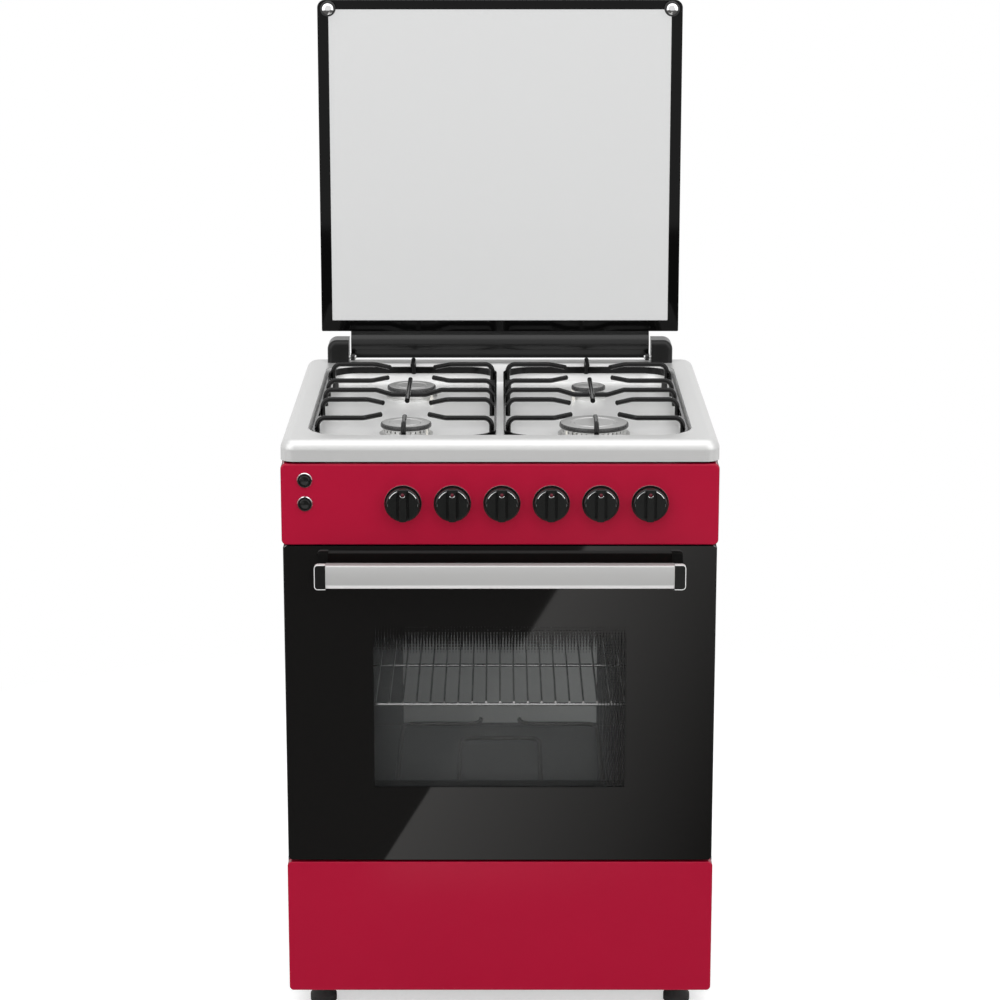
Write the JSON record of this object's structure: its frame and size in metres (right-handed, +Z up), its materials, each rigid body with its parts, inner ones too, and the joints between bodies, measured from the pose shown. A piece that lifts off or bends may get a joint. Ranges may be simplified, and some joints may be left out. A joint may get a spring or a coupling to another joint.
{
  "type": "dual fuel range cooker",
  "caption": "Free-standing cooker with a gas hob under a hinged glass lid, an electric oven behind a drop-down glass door, turning knobs and a storage drawer below.",
  "frame": {"origin": "on the floor, under the centre of the cooker's bounding box", "axes": "+Z up, the front with the door faces -Y, +X is the viewer's right when facing the front"},
  "size_m": [0.6, 0.642, 1.394],
  "materials": {
    "red_enamel": "glossy burgundy red enamel on sheet steel",
    "grey_paint": "grey painted sheet steel",
    "black_enamel": "black enamel",
    "rail_enamel": "black coated aluminium profile",
    "rod_enamel": "glossy black enamel on steel rod",
    "oven_enamel": "speckled grey oven enamel",
    "galvanised_steel": "galvanised sheet",
    "screw_steel": "zinc plated",
    "element_steel": "heat darkened steel tube",
    "hob_steel": "satin stainless steel",
    "lamp_metal": "lamp holder with glass lens",
    "chrome_wire": "chromed wire",
    "bezel_chrome": "dark ring with a bright edge",
    "bumper_chrome": "rubber buffer with a bright cap",
    "cast_aluminium": "cast aluminium",
    "burner_cap": "grey satin enamel",
    "handle_aluminium": "brushed and anodised",
    "probe_ceramic": "white ceramic",
    "mineral_wool": "mineral wool blanket",
    "black_glass": "black printed glass with a clear window",
    "clear_glass": "clear heat resistant glass",
    "lid_glass": "tempered glass with a black printed border",
    "seal_rubber": "silicone seal",
    "black_rubber": "black rubber",
    "black_plastic": "black moulded plastic",
    "knob_plastic": "glossy black plastic",
    "tap_brass": "turned brass"
  },
  "bodies": {
    "cooker": {"side_panel_right": "grey_paint", "side_panel_left": "grey_paint", "back_panel": "galvanised_steel", "back_screws": "screw_steel", "base_tray": "galvanised_steel", "front_frame": "black_enamel", "feet": "black_rubber", "oven_cavity": "oven_enamel", "cavity_insulation": "mineral_wool", "heating_elements": "element_steel", "oven_lamp": "lamp_metal", "shelf_guides": "chrome_wire", "wire_shelf": "chrome_wire", "door_seal": "seal_rubber", "door_hinge_brackets": "galvanised_steel", "drawer_rails": "galvanised_steel", "hob_top": "hob_steel", "burner_cups": "cast_aluminium", "burner_crowns": "cast_aluminium", "burner_caps": "burner_cap", "burner_probes": "probe_ceramic", "fascia_panel": "red_enamel", "control_bezels": "bezel_chrome", "gas_taps": "tap_brass", "gas_rail": "galvanised_steel", "gas_pipes": "cast_aluminium", "gas_inlet": "tap_brass", "control_switches": "black_plastic", "electric_boxes": "black_plastic", "lid_hinge_blocks": "black_plastic"},
    "door": {"door_glass_outer": "black_glass", "door_frame": "black_enamel", "door_glass_inner": "clear_glass", "door_hinge_pins": "screw_steel", "door_handle": "handle_aluminium", "door_handle_ends": "black_plastic"},
    "drawer": {"drawer_front": "red_enamel", "drawer_box": "galvanised_steel"},
    "lid": {"lid_glass": "lid_glass", "lid_rail": "rail_enamel", "lid_hinge_pins": "screw_steel", "lid_bumpers": "bumper_chrome"},
    "pan_support_right": {"pan_frame_right": "rod_enamel", "pan_bars_right": "rod_enamel", "pan_pads_right": "black_rubber"},
    "pan_support_left": {"pan_frame_left": "rod_enamel", "pan_bars_left": "rod_enamel", "pan_pads_left": "black_rubber"},
    "knob_oven_function": {"knob_oven_function": "knob_plastic"},
    "knob_thermostat": {"knob_thermostat": "knob_plastic"},
    "button_ignition": {"button_ignition": "knob_plastic"},
    "button_lamp": {"button_lamp": "knob_plastic"},
    "tap_spindle_front_left": {"tap_spindle_front_left": "tap_brass"},
    "knob_front_left": {"knob_front_left": "knob_plastic"},
    "tap_spindle_rear_left": {"tap_spindle_rear_left": "tap_brass"},
    "knob_rear_left": {"knob_rear_left": "knob_plastic"},
    "tap_spindle_front_right": {"tap_spindle_front_right": "tap_brass"},
    "knob_front_right": {"knob_front_right": "knob_plastic"},
    "tap_spindle_rear_right": {"tap_spindle_rear_right": "tap_brass"},
    "knob_rear_right": {"knob_rear_right": "knob_plastic"}
  },
  "joints": [
    {"name": "lid_hinge", "type": "hinge", "parent": "cooker", "child": "lid", "pos_m": [0, 0.287, 0.848], "axis": [-1, 0, 0], "range_deg": [-90, 0]},
    {"name": "door_hinge", "type": "hinge", "parent": "cooker", "child": "door", "pos_m": [0, -0.267, 0.258], "axis": [1, 0, 0], "range_deg": [0, 90], "stiffness_Nm_per_rad": 8, "springref_deg": -17.19},
    {"name": "drawer_slide", "type": "slide", "parent": "cooker", "child": "drawer", "axis": [0, -1, 0], "range_m": [0, 0.34]},
    {"name": "pan_support_right_lift", "type": "slide", "parent": "cooker", "child": "pan_support_right", "axis": [0, 0, 1], "range_m": [0, 0.06]},
    {"name": "pan_support_left_lift", "type": "slide", "parent": "cooker", "child": "pan_support_left", "axis": [0, 0, 1], "range_m": [0, 0.06]},
    {"name": "knob_oven_function_turn", "type": "hinge", "parent": "cooker", "child": "knob_oven_function", "pos_m": [-0.1325, -0.279, 0.752], "axis": [0, 1, 0], "range_deg": [0, 300]},
    {"name": "knob_thermostat_turn", "type": "hinge", "parent": "cooker", "child": "knob_thermostat", "pos_m": [-0.065, -0.279, 0.752], "axis": [0, 1, 0], "range_deg": [0, 300]},
    {"name": "tap_front_left_push", "type": "slide", "parent": "cooker", "child": "tap_spindle_front_left", "axis": [0, 1, 0], "range_m": [0, 0.004], "stiffness_N_per_m": 1500},
    {"name": "knob_front_left_turn", "type": "hinge", "parent": "tap_spindle_front_left", "child": "knob_front_left", "pos_m": [0.0025, -0.279, 0.752], "axis": [0, -1, 0], "range_deg": [0, 210]},
    {"name": "tap_rear_left_push", "type": "slide", "parent": "cooker", "child": "tap_spindle_rear_left", "axis": [0, 1, 0], "range_m": [0, 0.004], "stiffness_N_per_m": 1500},
    {"name": "knob_rear_left_turn", "type": "hinge", "parent": "tap_spindle_rear_left", "child": "knob_rear_left", "pos_m": [0.07, -0.279, 0.752], "axis": [0, -1, 0], "range_deg": [0, 210]},
    {"name": "tap_front_right_push", "type": "slide", "parent": "cooker", "child": "tap_spindle_front_right", "axis": [0, 1, 0], "range_m": [0, 0.004], "stiffness_N_per_m": 1500},
    {"name": "knob_front_right_turn", "type": "hinge", "parent": "tap_spindle_front_right", "child": "knob_front_right", "pos_m": [0.1375, -0.279, 0.752], "axis": [0, -1, 0], "range_deg": [0, 210]},
    {"name": "tap_rear_right_push", "type": "slide", "parent": "cooker", "child": "tap_spindle_rear_right", "axis": [0, 1, 0], "range_m": [0, 0.004], "stiffness_N_per_m": 1500},
    {"name": "knob_rear_right_turn", "type": "hinge", "parent": "tap_spindle_rear_right", "child": "knob_rear_right", "pos_m": [0.205, -0.279, 0.752], "axis": [0, -1, 0], "range_deg": [0, 210]},
    {"name": "button_ignition_press", "type": "slide", "parent": "cooker", "child": "button_ignition", "axis": [0, 1, 0], "range_m": [0, 0.003], "stiffness_N_per_m": 400},
    {"name": "button_lamp_press", "type": "slide", "parent": "cooker", "child": "button_lamp", "axis": [0, 1, 0], "range_m": [0, 0.003], "stiffness_N_per_m": 400}
  ]
}
